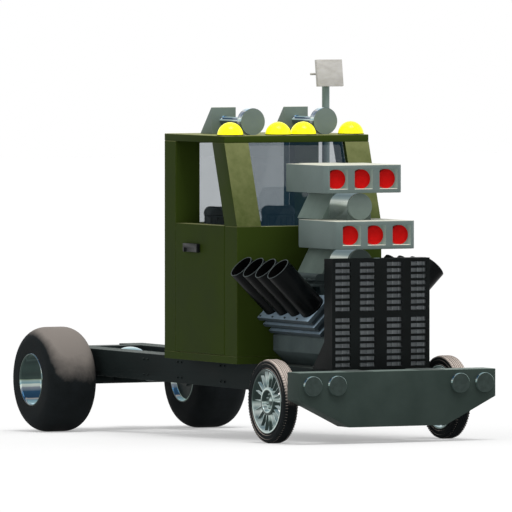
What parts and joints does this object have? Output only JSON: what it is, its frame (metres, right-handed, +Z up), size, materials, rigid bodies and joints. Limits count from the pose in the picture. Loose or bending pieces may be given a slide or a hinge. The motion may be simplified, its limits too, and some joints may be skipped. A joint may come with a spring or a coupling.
{
  "type": "semi truck tractor unit",
  "caption": "Two-axle tractor unit with an exposed supercharged vee engine, half-door cab, bare frame rails, balloon rear tyres and narrow spoked front wheels.",
  "frame": {"origin": "on the floor, below the centre of the truck's bounding box", "axes": "+X to the truck's left, +Y to its rear, +Z up"},
  "size_m": [2.382, 7.0318, 3.9459],
  "materials": {
    "frame_black": "satin black chassis paint",
    "chrome": "polished chrome plate",
    "engine_grey": "painted casting, satin",
    "tyre": "matt rubber",
    "bumper_grey": "satin grey-green paint",
    "lamp_grey": "satin cover with a bright rim",
    "shell_black": "satin black paint",
    "core_grey": "bare fin stock",
    "fin_grey": "cast and machined, satin",
    "pipe_black": "gloss black enamel",
    "blower_grey": "cast, satin",
    "polished_alloy": "polished",
    "scoop_grey": "satin grey paint",
    "butterfly_red": "gloss red paint",
    "olive_paint": "olive green paint, semi-gloss",
    "handle_black": "gloss black",
    "window_glass": "lightly tinted",
    "seat_vinyl": "black grained vinyl",
    "wheel_black": "matt black",
    "lamp_yellow": "bright yellow lens",
    "horn_chrome": "polished chrome plate",
    "mast_steel": "brushed",
    "panel_alloy": "brushed"
  },
  "bodies": {
    "chassis": {"rail_right": "frame_black", "rail_left": "frame_black", "crossmembers": "frame_black", "rear_axle": "chrome", "driveline": "engine_grey", "front_axle": "frame_black", "bumper": "bumper_grey", "bumper_lamps": "lamp_grey", "radiator_shell": "shell_black", "radiator_core": "core_grey", "engine_block": "engine_grey", "cylinder_banks": "fin_grey", "exhaust_pipes": "pipe_black", "intake_manifold": "fin_grey", "blowers": "blower_grey", "blower_drives": "polished_alloy", "scoops": "scoop_grey", "butterflies": "butterfly_red", "cab_floor": "olive_paint", "cab_cowl": "olive_paint", "windscreen_posts": "olive_paint", "cab_rear_wall": "olive_paint", "cab_roof": "olive_paint", "cab_glass": "window_glass", "seats": "seat_vinyl", "steering_wheel": "wheel_black", "roof_lamps": "lamp_yellow", "horns": "horn_chrome", "mast": "mast_steel"},
    "rear_wheel_right": {"rear_rim_right": "chrome", "rear_tyre_right": "tyre"},
    "rear_wheel_left": {"rear_rim_left": "chrome", "rear_tyre_left": "tyre"},
    "front_wheel_right": {"front_rim_right": "chrome", "front_tyre_right": "tyre"},
    "front_wheel_left": {"front_rim_left": "chrome", "front_tyre_left": "tyre"},
    "steering_right": {"knuckle_right": "frame_black"},
    "steering_left": {"knuckle_left": "frame_black"},
    "tie_rod_link": {"tie_rod": "frame_black"},
    "right_door": {"door_right": "olive_paint", "door_handle_right": "handle_black"},
    "left_door": {"door_left": "olive_paint", "door_handle_left": "handle_black"},
    "panel": {"mast_panel": "panel_alloy"}
  },
  "joints": [
    {"name": "rear_wheel_right_spin", "type": "hinge", "parent": "chassis", "child": "rear_wheel_right", "pos_m": [-0.906, 2.69234, 0.562], "axis": [1, 0, 0], "continuous": true},
    {"name": "rear_wheel_left_spin", "type": "hinge", "parent": "chassis", "child": "rear_wheel_left", "pos_m": [0.906, 2.69234, 0.562], "axis": [1, 0, 0], "continuous": true},
    {"name": "steer_right", "type": "hinge", "parent": "chassis", "child": "steering_right", "pos_m": [-0.82, -2.62377, 0.42], "axis": [0, -0.0248, 0.9997], "range_deg": [-35, 35]},
    {"name": "steer_left", "type": "hinge", "parent": "chassis", "child": "steering_left", "pos_m": [0.82, -2.62377, 0.42], "axis": [0, -0.0248, 0.9997], "range_deg": [-35, 35]},
    {"name": "front_wheel_right_spin", "type": "hinge", "parent": "steering_right", "child": "front_wheel_right", "pos_m": [-1.002, -2.62402, 0.43], "axis": [1, 0, 0], "continuous": true},
    {"name": "front_wheel_left_spin", "type": "hinge", "parent": "steering_left", "child": "front_wheel_left", "pos_m": [1.002, -2.62402, 0.43], "axis": [1, 0, 0], "continuous": true},
    {"name": "tie_rod_pivot", "type": "hinge", "parent": "steering_right", "child": "tie_rod_link", "pos_m": [-0.82, -2.46271, 0.37929], "axis": [0, -0.0248, 0.9997], "range_deg": [-35, 35]},
    {"name": "door_right_hinge", "type": "hinge", "parent": "chassis", "child": "right_door", "pos_m": [-0.825, -1.24297, 2.21783], "axis": [0, -0.0248, 0.9997], "range_deg": [0, 70]},
    {"name": "door_left_hinge", "type": "hinge", "parent": "chassis", "child": "left_door", "pos_m": [0.825, -1.24297, 2.21783], "axis": [0, 0.0248, -0.9997], "range_deg": [0, 70]},
    {"name": "mast_panel_tilt", "type": "hinge", "parent": "chassis", "child": "panel", "pos_m": [0.955, -0.11573, 3.7933], "axis": [-1, 0, 0], "range_deg": [-12, 40]}
  ],
  "couplings": [
    {"joint": "steer_left", "follows": "steer_right", "ratio": 1},
    {"joint": "tie_rod_pivot", "follows": "steer_right", "ratio": -1}
  ]
}
